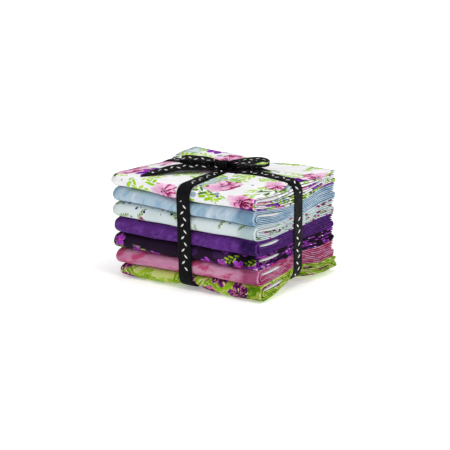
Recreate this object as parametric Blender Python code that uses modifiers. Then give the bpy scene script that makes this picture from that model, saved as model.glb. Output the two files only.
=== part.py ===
"""Fat quarter bundle: seven folded pieces of cotton, tied both ways with a ribbon and a bow.

Metres, +Z up. The front long face looks along -Y and the bundle stands on z = 0.
"""

import math
from collections import namedtuple

import bmesh
import bpy
from mathutils import Vector

# Driving sizes of the stack
LENGTH = 0.140
DEPTH = 0.118
Seam = namedtuple("Seam", "height left_rise")
SEAMS = (
    Seam(0.0, 0.0),
    Seam(0.0125, -0.0011),
    Seam(0.0254, -0.0010),
    Seam(0.0376, -0.0002),
    Seam(0.0511, 0.0004),
    Seam(0.0636, 0.0011),
    Seam(0.0761, 0.0011),
    Seam(0.0874, 0.0011),
)
TOP_LEVEL = len(SEAMS) - 1
STACK_HEIGHT = SEAMS[TOP_LEVEL].height
HALF_LENGTH = LENGTH / 2
HALF_DEPTH = DEPTH / 2

# A fat quarter folded in four each way, its ridges taken two cloth layers at a time
RIDGE_COUNT = 8
RIDGE_THICKNESS = 0.0010
GAP = 0.0003
SEAM_MARGIN = GAP / 2 + RIDGE_THICKNESS / 2
FRONT_FOLD_REACH = 0.0050
RIDGE_STEP = 0.0014
INNER_FOLD_SETBACK = 0.0035
INNER_FOLD_REACH = 0.0020
BACK_FOLD_REACH = 0.0022
TIGHT_FOLD_REACH = 0.0007
SELVAGE_END_SETBACK = 0.0025
INNER_END_SETBACK = 0.0060
SLOT_RIDGE = 5
SLOT_SHARE = 0.17
STATION_CLEARANCE = 0.002
LEFT_END_ROUNDING = 0.0022
LEFT_END_POWER = 2.5
RIGHT_END_UNEVENNESS = 0.0004

# Ribbon
RIBBON_WIDTH = 0.0127
RIBBON_THICKNESS = 0.0010
RIBBON_X = 0.0006
RIBBON_Y = 0.0014
RIBBON_SLANT = 0.0125
RIBBON_FLAT = 0.0068
RIBBON_STEP = RIBBON_THICKNESS + GAP
RIBBON_LIFT = SEAM_MARGIN - RIDGE_THICKNESS / 2 + RIBBON_THICKNESS / 2
LOCAL_FADE = 0.0045

# How the tied ribbon squeezes the stack
END_REACH = 0.028
SIDE_REACH = 0.024
LENGTH_FADE = 0.036
FAR_FADE = 0.025
END_PINCH_TOP_LEFT = -0.0026
END_PINCH_TOP_RIGHT = -0.0055
END_PINCH_BOTTOM = 0.0062
SIDE_PINCH_TOP = -0.0030
SIDE_PINCH_BOTTOM = 0.0025
TOP_SAG = -0.0010
CREST_END_PINCH_RIGHT = -0.0020
CREST_SIDE_PINCH = -0.0008
CREST_DOME = 0.0003
CREST_SWELL = 0.0024
BASE_DOME = 0.0009
FAR_CORNER_LIFT = 0.0040
SOFTNESS = 0.020
CORNER_RADIUS = 0.009
END_PLANE = 0.0698
BACK_PLANE = 0.0582
FRONT_PLANE_TOP = -0.0592
FRONT_PLANE_LEAN = 0.047
FRONT_PLANE_HEIGHT = 0.080

FatQuarter = namedtuple("FatQuarter", "name left right front back near_inset colour")
FAT_QUARTERS = (
    FatQuarter("fat_quarter_7_lime_leafy", -0.0665, 0.0725, 0.0006, 0.0586, 0.0029,
               (0.50, 0.60, 0.16)),
    FatQuarter("fat_quarter_6_pink_mottled", -0.0690, 0.0700, -0.0002, 0.0580, 0.0025,
               (0.66, 0.30, 0.42)),
    FatQuarter("fat_quarter_5_dark_floral", -0.0706, 0.0695, -0.0008, 0.0584, 0.0034,
               (0.10, 0.03, 0.12)),
    FatQuarter("fat_quarter_4_purple_mottled", -0.0698, 0.0692, 0.0002, 0.0580, 0.0025,
               (0.19, 0.06, 0.29)),
    FatQuarter("fat_quarter_3_mint_sprig", -0.0702, 0.0696, -0.0004, 0.0585, 0.0038,
               (0.72, 0.79, 0.79)),
    FatQuarter("fat_quarter_2_blue_mottled", -0.0700, 0.0700, 0.0000, 0.0592, 0.0048,
               (0.44, 0.57, 0.68)),
    FatQuarter("fat_quarter_1_white_floral", -0.0705, 0.0700, -0.0002, 0.0590, 0.0052,
               (0.86, 0.84, 0.84)),
)
RIBBON_COLOUR = (0.012, 0.012, 0.014)

# Bow: each strand runs out from the knot at a heading in plan, in degrees, through points given
# as (distance from the knot's centre, height above the stack), in millimetres
KNOT_SIZE = (0.0096, 0.0090, 0.0060)
KNOT_BEVEL = 0.0020
BOW_HEADING = 28.0
NECK_START = 0.0052
NECK_WIDTH = 0.0076
NECK_LENGTH = 0.010
Strand = namedtuple("Strand", "name heading lean slant points")
STRANDS = (
    Strand("bow_loop_left", 205.0, 0.12, 0.0,
           ((5.2, 6.6), (12, 7.0), (22, 7.4), (31, 7.7), (35.4, 8.8),
            (31.5, 10.2), (22, 10.4), (12, 10.0), (5.2, 8.9))),
    Strand("bow_loop_right", 31.0, -0.04, 0.0,
           ((5.2, 6.0), (14, 5.5), (26, 5.3), (33.5, 5.5), (37.0, 7.0),
            (34.5, 9.3), (26, 10.4), (14, 10.0), (5.2, 8.5))),
    Strand("bow_tail_left", 226.0, 0.02, 0.0055,
           ((6.2, 4.4), (12, 5.0), (22, 5.4), (33, 5.0), (44, 3.7), (55, 2.3), (65, 1.8))),
    Strand("bow_tail_right", 30.0, 0.0, -0.0050,
           ((5.2, 4.2), (12, 3.8), (22, 3.6), (33, 2.7))),
)
MILLIMETRE = 0.001


def clear_scene():
    for item in list(bpy.data.objects):
        bpy.data.objects.remove(item, do_unlink=True)


def make_material(name, colour, roughness):
    material = bpy.data.materials.new(name)
    material.use_nodes = True
    shader = material.node_tree.nodes["Principled BSDF"]
    shader.inputs["Base Color"].default_value = (*colour, 1.0)
    shader.inputs["Roughness"].default_value = roughness
    shader.inputs["Metallic"].default_value = 0.0
    return material


def ramp(value, start, end):
    """0 at start, 1 at end, straight between."""
    return min(1.0, max(0.0, (value - start) / (end - start)))


def across(y):
    """How far the lengthwise ribbon's squeeze is felt at a depth y."""
    near = ramp(y, -HALF_DEPTH, RIBBON_Y - RIBBON_FLAT)
    far = 1.0 - ramp(y, RIBBON_Y + RIBBON_FLAT, RIBBON_Y + RIBBON_FLAT + FAR_FADE)
    return min(near, far)


def along(x):
    """How far the crosswise ribbon's squeeze is felt at a length x."""
    return 1.0 - ramp(abs(x - RIBBON_X), RIBBON_FLAT, RIBBON_FLAT + LENGTH_FADE)


def slip_back(x):
    """How far the lengthwise ribbon has slipped back towards the left end."""
    return RIBBON_SLANT * ramp(-x, RIBBON_FLAT - RIBBON_X, END_PLANE)


def plan_shift(x, y):
    """The layers follow the slipped ribbon: not at the front and the back, in full beside it."""
    near = ramp(y, -HALF_DEPTH, RIBBON_Y - RIBBON_FLAT)
    far = 1.0 - ramp(y, RIBBON_Y + RIBBON_FLAT, HALF_DEPTH)
    return slip_back(x) * min(near, far)


def near_band(value, centre):
    """The ribbon's own print in the base of the stack."""
    return 1.0 - ramp(abs(value - centre), RIBBON_FLAT, RIBBON_FLAT + LOCAL_FADE)


def crest_swell(x, y):
    """The top piece stays full under the lengthwise ribbon, most of all towards the right."""
    rising = ramp(x, RIBBON_X - RIBBON_FLAT, HALF_LENGTH - END_REACH)
    return (CREST_DOME + CREST_SWELL * rising) * across(y)


def seam_height(level, x, y):
    """Height of the seam under piece number level, squeezed by the tied ribbon."""
    height = SEAMS[level].height
    share = height / STACK_HEIGHT
    from_top = math.exp((height - STACK_HEIGHT) / SOFTNESS)
    from_base = math.exp(-height / SOFTNESS)
    end_pinch_top = END_PINCH_TOP_LEFT if x < 0.0 else END_PINCH_TOP_RIGHT
    end_pinch = END_PINCH_BOTTOM + (end_pinch_top - END_PINCH_BOTTOM) * share
    side_pinch = SIDE_PINCH_TOP * from_top + SIDE_PINCH_BOTTOM * from_base
    settling = TOP_SAG * from_top * (across(y) + along(x))
    if level == TOP_LEVEL:
        end_pinch = END_PINCH_TOP_LEFT if x < 0.0 else CREST_END_PINCH_RIGHT
        side_pinch = CREST_SIDE_PINCH
        settling = crest_swell(x, y)
    beside_end = ramp(abs(x), HALF_LENGTH - END_REACH, HALF_LENGTH)
    beside_side = ramp(abs(y), HALF_DEPTH - SIDE_REACH, HALF_DEPTH)
    result = height - SEAMS[level].left_rise * x / HALF_LENGTH + settling
    result += end_pinch * across(y) * beside_end + side_pinch * along(x) * beside_side
    if level == 0:
        result += RIBBON_STEP * (near_band(x, RIBBON_X) + near_band(y, RIBBON_Y))
        if x > 0.0:
            far = ramp(y, RIBBON_Y + RIBBON_FLAT, RIBBON_Y + RIBBON_FLAT + FAR_FADE)
            result += FAR_CORNER_LIFT * far * beside_end
    else:
        result += BASE_DOME * from_base * across(y) * along(x)
    return result


def corner_inset(depth, radius):
    """How far a rounded corner of the stack draws in at a depth below its face."""
    if radius <= depth:
        return 0.0
    reach = radius - max(depth, 0.0)
    return radius - math.sqrt(radius * radius - reach * reach)


def section_path(piece, y_stations, base_stations):
    """The back-and-forth section as (y, ridge position 0 to RIDGE_COUNT - 1) points."""
    front = piece_front(piece) + RIDGE_THICKNESS / 2 + FRONT_FOLD_REACH
    inner_front = front + INNER_FOLD_SETBACK
    back = piece.back - RIDGE_THICKNESS / 2 - BACK_FOLD_REACH
    inner_end = piece.back - INNER_END_SETBACK
    path = []

    def run(ridge, start, end, stations):
        low, high = min(start, end), max(start, end)
        middle = [y for y in stations if low + STATION_CLEARANCE < y < high - STATION_CLEARANCE]
        if end < start:
            middle.reverse()
        path.append((start, ridge))
        for y in middle:
            path.append((y, ridge))

    def bend(y, start, end, reach, steps):
        middle = (start + end) / 2
        swing = (start - end) / 2
        for step in range(steps):
            angle = math.pi * step / steps
            path.append((y + reach * math.sin(angle), middle + swing * math.cos(angle)))

    run(7, piece.back - SELVAGE_END_SETBACK, front, y_stations)
    bend(front, 7, 0, -FRONT_FOLD_REACH, 7)
    run(0, front, back, base_stations)
    bend(back, 0, 3, BACK_FOLD_REACH, 4)
    run(3, back, inner_front, y_stations)
    bend(inner_front, 3, 4, -TIGHT_FOLD_REACH, 3)
    run(4, inner_front, inner_end, y_stations)
    bend(inner_end, 4, 5, TIGHT_FOLD_REACH, 3)
    run(5, inner_end, inner_front, y_stations)
    bend(inner_front, 5, 2, -INNER_FOLD_REACH, 4)
    run(2, inner_front, back, y_stations)
    bend(back, 2, 1, TIGHT_FOLD_REACH, 3)
    run(1, back, front, y_stations)
    bend(front, 1, 6, RIDGE_STEP - FRONT_FOLD_REACH, 5)
    run(6, front, piece.back - SELVAGE_END_SETBACK - RIDGE_STEP, y_stations)
    path.append((piece.back - SELVAGE_END_SETBACK - RIDGE_STEP, 6))
    return path


def piece_level(piece):
    return FAT_QUARTERS.index(piece)


def front_plane(height):
    """The leaning front of the stack under the crosswise ribbon."""
    return FRONT_PLANE_TOP + FRONT_PLANE_LEAN * (FRONT_PLANE_HEIGHT - height)


def piece_front(piece):
    level = piece_level(piece)
    middle = (SEAMS[level].height + SEAMS[level + 1].height) / 2
    return front_plane(middle) + piece.front


def ridge_share(ridge, y):
    """Ridge position as a share of the piece's height, with the slot left open near the front."""
    share = ridge / (RIDGE_COUNT - 1)
    slot = SLOT_SHARE * (1.0 - ramp(y, Y_STATIONS[0], Y_STATIONS[1]))
    lift = min(1.0, max(0.0, ridge - SLOT_RIDGE))
    return share * (1.0 - slot * (1.0 - lift))


def place(piece, x, y, ridge):
    """A point of the piece's middle surface, at rest in the tied stack."""
    level = piece_level(piece)
    share = ridge_share(ridge, y)

    def height_at(px, py):
        low = seam_height(level, px, py) + SEAM_MARGIN
        high = seam_height(level + 1, px, py) - SEAM_MARGIN
        return low + share * (high - low)

    z = height_at(x, y)
    below_top = seam_height(TOP_LEVEL, x, y) - SEAM_MARGIN - z
    above_base = z - seam_height(0, x, y) - SEAM_MARGIN
    end_radius = CORNER_RADIUS * across(y) ** 2
    side_radius = CORNER_RADIUS * along(x) ** 2
    end_inset = max(corner_inset(below_top, end_radius), corner_inset(above_base, end_radius))
    side_inset = max(corner_inset(below_top, side_radius), corner_inset(above_base, side_radius))

    if x > X_STATIONS[-2]:
        loose = piece.right + RIGHT_END_UNEVENNESS * math.sin(2.3 * ridge + 1.7 * level)
        loose -= piece.near_inset * ramp(y, Y_STATIONS[0], -HALF_DEPTH + FRONT_FOLD_REACH)
        held = min(piece.right, END_PLANE) - end_inset
        x = loose + (held - loose) * across(y)
    elif x < X_STATIONS[1]:
        loose = piece.left + LEFT_END_ROUNDING * abs(2 * share - 1) ** LEFT_END_POWER
        held = max(piece.left, -END_PLANE) + end_inset
        x = loose + (held - loose) * across(y)

    at_front = ramp(-y, HALF_DEPTH - SIDE_REACH, HALF_DEPTH - FRONT_FOLD_REACH)
    at_back = ramp(y, HALF_DEPTH - SIDE_REACH, HALF_DEPTH - FRONT_FOLD_REACH)
    y += at_front * along(x) * (side_inset - piece.front)
    y -= at_back * along(x) * (side_inset + max(0.0, piece.back - BACK_PLANE))
    return Vector((x, y + plan_shift(x, y), height_at(x, y)))


def split_all_one_way(work):
    """Split each four-sided face along the same diagonal in plan, so that layers stay parallel."""
    for face in list(work.faces):
        corners = list(face.verts)
        order = sorted(range(4), key=lambda index: corners[index].co.x + corners[index].co.y)
        if (order[0] - order[3]) % 4 == 2:
            bmesh.utils.face_split(face, corners[order[0]], corners[order[3]])


def strip_object(name, rows, closed, thickness, material, collection):
    """A sheet through rows of points, one row for each station, made solid with Solidify."""
    row_count = len(rows)
    column_count = len(rows[0])
    mesh = bpy.data.meshes.new(name)
    work = bmesh.new()
    bmesh.ops.create_grid(work, x_segments=row_count - 1, y_segments=column_count - 1, size=0.5)
    for vertex in work.verts:
        row = round((vertex.co.x + 0.5) * (row_count - 1))
        column = round((vertex.co.y + 0.5) * (column_count - 1))
        vertex.co = rows[row][column]
    if closed:
        bmesh.ops.remove_doubles(work, verts=work.verts, dist=0.00001)
    split_all_one_way(work)
    work.to_mesh(mesh)
    work.free()
    mesh.materials.append(material)
    mesh.shade_smooth()
    item = bpy.data.objects.new(name, mesh)
    collection.objects.link(item)
    solid = item.modifiers.new("thickness", "SOLIDIFY")
    solid.thickness = thickness
    solid.offset = 0.0
    solid.use_even_offset = True
    return item


# Where the squeeze changes slope, so that neighbouring pieces bend at the same places
X_STATIONS = (-HALF_LENGTH, -HALF_LENGTH + END_REACH, RIBBON_X - RIBBON_FLAT,
              RIBBON_X + RIBBON_FLAT, HALF_LENGTH - END_REACH, HALF_LENGTH)
BASE_X_STATIONS = (-HALF_LENGTH, -HALF_LENGTH + END_REACH, RIBBON_X - RIBBON_FLAT - LOCAL_FADE,
                   RIBBON_X - RIBBON_FLAT, RIBBON_X + RIBBON_FLAT,
                   RIBBON_X + RIBBON_FLAT + LOCAL_FADE, HALF_LENGTH - END_REACH, HALF_LENGTH)
Y_STATIONS = (-HALF_DEPTH + SIDE_REACH, RIBBON_Y - RIBBON_FLAT, RIBBON_Y + RIBBON_FLAT,
              RIBBON_Y + RIBBON_FLAT + FAR_FADE)
BASE_Y_STATIONS = (Y_STATIONS[0], Y_STATIONS[1] - LOCAL_FADE, Y_STATIONS[1],
                   Y_STATIONS[2], Y_STATIONS[2] + LOCAL_FADE, Y_STATIONS[3])


def make_fat_quarter(piece, collection):
    is_base = piece_level(piece) == 0
    x_stations = BASE_X_STATIONS if is_base else X_STATIONS
    path = section_path(piece, Y_STATIONS, BASE_Y_STATIONS if is_base else Y_STATIONS)
    rows = [[place(piece, x, y, ridge) for x in x_stations] for y, ridge in path]
    material = make_material(piece.name + "_cotton", piece.colour, 0.85)
    return strip_object(piece.name, rows, False, RIDGE_THICKNESS, material, collection)


def quarter_turn(start, end, first_axis, steps):
    """Points of a quarter ellipse from start to end, leaving start along the first axis."""
    points = []
    for step in range(1, steps):
        angle = math.pi / 2 * step / steps
        if first_axis:
            along_share, other_share = math.sin(angle), 1.0 - math.cos(angle)
        else:
            along_share, other_share = 1.0 - math.cos(angle), math.sin(angle)
        points.append((start[0] + (end[0] - start[0]) * along_share,
                       start[1] + (end[1] - start[1]) * other_share))
    return points


def closed_route(top, right_side, base, left_side):
    """A rounded loop through a top run, a side, a base run and the other side."""
    route = list(top)
    route += quarter_turn(top[-1], right_side[0], True, 4)
    route += right_side
    route += quarter_turn(right_side[-1], base[0], False, 4)
    route += base
    route += quarter_turn(base[-1], left_side[0], True, 4)
    route += left_side
    route += quarter_turn(left_side[-1], top[0], False, 4)
    route.append(top[0])
    return route


# Where the ribbon leaves the flat faces to turn the corners of the stack
TURN_START = 0.009
LOW_FRONT_TURN_START = 0.013
END_TURN_TOP_LEFT = 0.0752
END_TURN_TOP_RIGHT = 0.0785
END_TURN_BASE = 0.0170
SIDE_TURN_TOP = 0.0795
SIDE_TURN_BASE = 0.0118
FACE_OFFSET = 2 * GAP + RIBBON_THICKNESS / 2


def lengthwise_route():
    edge = END_PLANE - TURN_START
    top_x = [-edge, *X_STATIONS[1:-1], edge]
    top = [(x, seam_height(TOP_LEVEL, x, RIBBON_Y) + RIBBON_LIFT) for x in top_x]
    base_x = [edge, *reversed(BASE_X_STATIONS[1:-1]), -edge]
    base = [(x, seam_height(0, x, RIBBON_Y) - RIBBON_LIFT) for x in base_x]
    face = END_PLANE + FACE_OFFSET
    return closed_route(top, [(face, END_TURN_TOP_RIGHT), (face, END_TURN_BASE)], base,
                        [(-face, END_TURN_BASE), (-face, END_TURN_TOP_LEFT)])


def crosswise_route():
    edge_front = front_plane(STACK_HEIGHT) + TURN_START
    edge_back = BACK_PLANE - TURN_START
    band = RIBBON_WIDTH / 2
    top_y = [edge_front, Y_STATIONS[0], RIBBON_Y - band - LOCAL_FADE, RIBBON_Y - band - GAP,
             RIBBON_Y + band + GAP, RIBBON_Y + band + LOCAL_FADE, Y_STATIONS[3], edge_back]
    top = []
    for y in top_y:
        over = 1.0 - ramp(abs(y - RIBBON_Y), band + GAP, band + LOCAL_FADE)
        height = seam_height(TOP_LEVEL, RIBBON_X, y)
        top.append((y, height + RIBBON_LIFT + RIBBON_STEP * over))
    low_edge_front = front_plane(STACK_HEIGHT) + LOW_FRONT_TURN_START
    base_y = [edge_back, *reversed(BASE_Y_STATIONS), low_edge_front]
    base = []
    for y in base_y:
        under = near_band(y, RIBBON_Y)
        base.append((y, seam_height(0, RIBBON_X, y) - RIBBON_LIFT - RIBBON_STEP * under))
    back_face = BACK_PLANE + FACE_OFFSET
    front_face = [(front_plane(z) - FACE_OFFSET, z) for z in (SIDE_TURN_BASE, SIDE_TURN_TOP)]
    back = [(back_face, SIDE_TURN_TOP), (back_face, SIDE_TURN_BASE)]
    return closed_route(top, back, base, front_face)


def make_bands(material, collection):
    half = RIBBON_WIDTH / 2
    rows = []
    for x, z in lengthwise_route():
        middle = RIBBON_Y + slip_back(x)
        rows.append([Vector((x, middle - half, z)), Vector((x, middle + half, z))])
    strip_object("ribbon_lengthwise", rows, True, RIBBON_THICKNESS, material, collection)
    rows = []
    for y, z in crosswise_route():
        in_top = ramp(z, SIDE_TURN_BASE, SIDE_TURN_TOP)
        tilt = in_top * (crest_swell(RIBBON_X + half, y) - crest_swell(RIBBON_X, y))
        rows.append([Vector((RIBBON_X - half, y, z - tilt)), Vector((RIBBON_X + half, y, z + tilt))])
    strip_object("ribbon_crosswise", rows, True, RIBBON_THICKNESS, material, collection)


def smooth_points(points, steps):
    """A Catmull-Rom curve through the points, steps to a span."""
    ends = [2 * points[0] - points[1], *points, 2 * points[-1] - points[-2]]
    result = []
    for index in range(1, len(ends) - 2):
        before, start, end, after = ends[index - 1:index + 3]
        for step in range(steps):
            t = step / steps
            result.append(0.5 * (2 * start + (end - before) * t
                                 + (2 * before - 5 * start + 4 * end - after) * t ** 2
                                 + (3 * start - before - 3 * end + after) * t ** 3))
    result.append(points[-1].copy())
    return result


def make_strand(strand, material, collection):
    heading = math.radians(strand.heading)
    run = Vector((math.cos(heading), math.sin(heading), 0.0))
    side = Vector((-run.y, run.x, 0.0))
    centres = []
    for distance, height in strand.points:
        height_above_base = STACK_HEIGHT + height * MILLIMETRE
        centres.append(run * distance * MILLIMETRE + Vector((0.0, 0.0, height_above_base)))
    centres = smooth_points(centres, 2)
    rows = []
    for index, centre in enumerate(centres):
        distance = centre.to_2d().length
        widening = ramp(distance, NECK_START, NECK_START + NECK_LENGTH)
        half = (NECK_WIDTH + (RIBBON_WIDTH - NECK_WIDTH) * widening) / 2
        reach = (side + Vector((0.0, 0.0, -strand.lean))).normalized() * half
        slant = run * strand.slant * ramp(index, len(centres) - 3, len(centres) - 1)
        rows.append([centre - reach - slant, centre + reach + slant])
    strip_object(strand.name, rows, False, RIBBON_THICKNESS, material, collection)


def make_knot(material, collection):
    mesh = bpy.data.meshes.new("bow_knot")
    work = bmesh.new()
    bmesh.ops.create_cube(work, size=1.0)
    for vertex in work.verts:
        vertex.co.x *= KNOT_SIZE[0]
        vertex.co.y *= KNOT_SIZE[1]
        vertex.co.z *= KNOT_SIZE[2]
    work.to_mesh(mesh)
    work.free()
    mesh.materials.append(material)
    knot = bpy.data.objects.new("bow_knot", mesh)
    collection.objects.link(knot)
    crossing = seam_height(TOP_LEVEL, RIBBON_FLAT, 0.0) + RIBBON_LIFT + RIBBON_STEP
    knot.location = (0.0, 0.0, crossing + RIBBON_THICKNESS / 2 + GAP + KNOT_SIZE[2] / 2)
    knot.rotation_euler = (0.0, 0.0, math.radians(BOW_HEADING))
    bevel = knot.modifiers.new("soft edges", "BEVEL")
    bevel.width = KNOT_BEVEL
    bevel.segments = 3
    bevel.limit_method = "NONE"
    return knot


def centre_on_base(collection):
    """Parent the parts to an empty that puts the middle of the base at the origin."""
    bpy.context.view_layer.update()
    graph = bpy.context.evaluated_depsgraph_get()
    low = Vector((math.inf, math.inf, math.inf))
    high = -low
    parts = list(collection.objects)
    for item in parts:
        evaluated = item.evaluated_get(graph)
        for corner in evaluated.bound_box:
            point = evaluated.matrix_world @ Vector(corner)
            low = Vector(map(min, low, point))
            high = Vector(map(max, high, point))
    frame = bpy.data.objects.new("bundle_frame", None)
    collection.objects.link(frame)
    frame.location = (-(low.x + high.x) / 2, -(low.y + high.y) / 2, -low.z)
    for item in parts:
        item.parent = frame


def main():
    clear_scene()
    collection = bpy.data.collections.new("fat_quarter_bundle")
    bpy.context.scene.collection.children.link(collection)
    for piece in FAT_QUARTERS:
        make_fat_quarter(piece, collection)
    ribbon = make_material("black_ribbon", RIBBON_COLOUR, 0.55)
    make_bands(ribbon, collection)
    make_knot(ribbon, collection)
    for strand in STRANDS:
        make_strand(strand, ribbon, collection)
    centre_on_base(collection)


main()
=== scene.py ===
# %% [markdown]
# A bundle of seven fat quarters, tied both ways with a ribbon and a bow.
# Each fat quarter is one rectangle of printed cotton, 457 by 559 mm, folded in four each way.
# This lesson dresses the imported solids: it folds a true sheet for every fat quarter, prints it
# with procedural designs, and lays the ribbon and its bow over the stack.
# Everything is in metres, in the frame of the solids, so that nothing has to be fitted later.

# %% Load the frame
import math
from collections import namedtuple

import bpy
import numpy as np
from mathutils import Matrix, Vector


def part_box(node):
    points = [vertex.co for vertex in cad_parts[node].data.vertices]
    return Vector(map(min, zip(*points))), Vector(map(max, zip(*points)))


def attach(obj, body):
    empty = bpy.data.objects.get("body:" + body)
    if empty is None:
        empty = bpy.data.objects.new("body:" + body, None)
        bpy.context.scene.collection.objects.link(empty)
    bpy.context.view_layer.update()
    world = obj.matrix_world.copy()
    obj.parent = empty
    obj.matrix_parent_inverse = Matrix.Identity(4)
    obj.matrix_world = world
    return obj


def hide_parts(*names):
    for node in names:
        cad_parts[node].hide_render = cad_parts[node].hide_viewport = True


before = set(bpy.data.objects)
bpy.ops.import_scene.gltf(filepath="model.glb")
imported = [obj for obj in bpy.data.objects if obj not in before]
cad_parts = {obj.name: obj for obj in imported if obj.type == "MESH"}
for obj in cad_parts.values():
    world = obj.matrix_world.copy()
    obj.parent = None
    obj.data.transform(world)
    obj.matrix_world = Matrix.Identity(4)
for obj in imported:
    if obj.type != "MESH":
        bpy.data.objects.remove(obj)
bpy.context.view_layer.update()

print("solids loaded:", len(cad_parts))

# %% [markdown]
# The stack is measured once, in named sizes. Seams are the heights at which one fat quarter
# rests on the next, and the small left rise tells how far a seam climbs towards the left end.
# The middle of the stack is found from the two ribbon bands, whose boxes the frame gives.

# %% Sizes of the stack
LENGTH = 0.140
DEPTH = 0.118
HALF_LENGTH = LENGTH / 2
HALF_DEPTH = DEPTH / 2
SEAM_HEIGHTS = (0.0, 0.0125, 0.0254, 0.0376, 0.0511, 0.0636, 0.0761, 0.0874)
LEFT_RISES = (0.0, -0.0011, -0.0010, -0.0002, 0.0004, 0.0011, 0.0011, 0.0011)
STACK_HEIGHT = SEAM_HEIGHTS[-1]
TOP_LEVEL = len(SEAM_HEIGHTS) - 1
SEAM_MARGIN = 0.00065
RIBBON_WIDTH = 0.0127
RIBBON_X = 0.0006
RIBBON_Y = 0.0014
BASE_LIFT = 0.000125

crosswise_low, crosswise_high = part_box("ribbon_crosswise")
lengthwise_low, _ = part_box("ribbon_lengthwise")
SHIFT = Vector(((crosswise_low.x + crosswise_high.x) / 2 - RIBBON_X,
                lengthwise_low.y + RIBBON_WIDTH / 2 - RIBBON_Y,
                -BASE_LIFT))
print("middle of the stack in mm:", [round(value * 1000, 3) for value in SHIFT])

FatQuarter = namedtuple("FatQuarter", "name left right front back near_inset")
FAT_QUARTERS = (
    FatQuarter("fat_quarter_7_lime_leafy", -0.0665, 0.0725, 0.0006, 0.0586, 0.0029),
    FatQuarter("fat_quarter_6_pink_mottled", -0.0690, 0.0700, -0.0002, 0.0580, 0.0025),
    FatQuarter("fat_quarter_5_dark_floral", -0.0706, 0.0695, -0.0008, 0.0584, 0.0034),
    FatQuarter("fat_quarter_4_purple_mottled", -0.0698, 0.0692, 0.0002, 0.0580, 0.0025),
    FatQuarter("fat_quarter_3_mint_sprig", -0.0702, 0.0696, -0.0004, 0.0585, 0.0038),
    FatQuarter("fat_quarter_2_blue_mottled", -0.0700, 0.0700, 0.0000, 0.0592, 0.0048),
    FatQuarter("fat_quarter_1_white_floral", -0.0705, 0.0700, -0.0002, 0.0590, 0.0052),
)

# %% [markdown]
# A tied ribbon squeezes the stack: the ends pinch together where the band runs, and the top sags
# a little. One smooth field gives the height of every seam at every point of the plan. All the
# sheets and the ribbon are placed by this one field, so neighbours can't cut into each other.
# The lengthwise band has slipped back on its way to the left end, and the squeeze goes with it.

# %% The squeeze of the tied ribbon
RIBBON_FLAT = 0.0068
END_REACH = 0.028
SIDE_REACH = 0.024
LENGTH_FADE = 0.036
FAR_FADE = 0.025
LOCAL_FADE = 0.0045
FRONT_FOLD_REACH = 0.0050
END_PINCH_TOP_LEFT = -0.0026
END_PINCH_TOP_RIGHT = -0.0055
END_PINCH_BOTTOM = 0.0062
SIDE_PINCH_TOP = -0.0030
SIDE_PINCH_BOTTOM = 0.0025
TOP_SAG = -0.0010
CREST_END_PINCH_RIGHT = -0.0020
CREST_SIDE_PINCH = -0.0008
CREST_DOME = 0.0003
CREST_SWELL = 0.0024
BASE_DOME = 0.0009
BASE_PRINT = 0.0013
BASE_CLEARANCE = 0.0002
RIBBON_SLANT = 0.0125
END_PLANE = 0.0698
FAR_CORNER_LIFT = 0.0040
SOFTNESS = 0.020
KNEE = 0.004
FINE_KNEE = 0.0015
WOBBLE = 0.00022


def soft_ramp(value, start, end, knee=KNEE):
    """0 before start, 1 after end, straight between, with both corners rounded over a knee."""
    reach = knee / abs(end - start)
    share = (value - start) / (end - start)
    result = np.clip(share, 0.0, 1.0)
    result = np.where(np.abs(share) < reach, (share + reach) ** 2 / (4 * reach), result)
    late = 1.0 - (1.0 + reach - share) ** 2 / (4 * reach)
    return np.where(np.abs(share - 1.0) < reach, late, result)


def across(y):
    """How far the lengthwise band's squeeze is felt at a depth y."""
    near = soft_ramp(y, -HALF_DEPTH, RIBBON_Y - RIBBON_FLAT)
    far = 1.0 - soft_ramp(y, RIBBON_Y + RIBBON_FLAT, RIBBON_Y + RIBBON_FLAT + FAR_FADE)
    return np.minimum(near, far)


def along(x):
    """How far the crosswise band's squeeze is felt at a length x."""
    return 1.0 - soft_ramp(np.abs(x - RIBBON_X), RIBBON_FLAT, RIBBON_FLAT + LENGTH_FADE)


def slip_back(x):
    """How far the lengthwise band has slipped back towards the left end."""
    return RIBBON_SLANT * soft_ramp(-x, RIBBON_FLAT - RIBBON_X, END_PLANE)


def plan_shift(x, y):
    """The layers follow the slipped band: not at the front and the back, in full beside it."""
    near = soft_ramp(y, -HALF_DEPTH, RIBBON_Y - RIBBON_FLAT)
    far = 1.0 - soft_ramp(y, RIBBON_Y + RIBBON_FLAT, HALF_DEPTH)
    return slip_back(x) * np.minimum(near, far)


def under_band(value, centre):
    """The ribbon's own print in the base of the stack."""
    return 1.0 - soft_ramp(np.abs(value - centre), RIBBON_FLAT, RIBBON_FLAT + LOCAL_FADE, FINE_KNEE)


def wobble(x, y, height):
    """Small unevenness of hand-folded cloth, which neighbouring layers share."""
    settled = np.clip(height / SEAM_HEIGHTS[1], 0.0, 1.0)
    wave = np.sin(105.0 * x + 60.0 * y + 140.0 * height)
    wave = wave + 0.7 * np.sin(-75.0 * x + 150.0 * y - 95.0 * height + 1.3)
    wave = wave + 0.5 * np.sin(190.0 * x - 120.0 * y + 60.0 * height + 2.1)
    return WOBBLE * settled * wave


def crest_swell(x, y):
    """The top piece stays full under the lengthwise band, most of all towards the right."""
    rising = soft_ramp(x, RIBBON_X - RIBBON_FLAT, HALF_LENGTH - END_REACH)
    return (CREST_DOME + CREST_SWELL * rising) * across(y)


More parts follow.
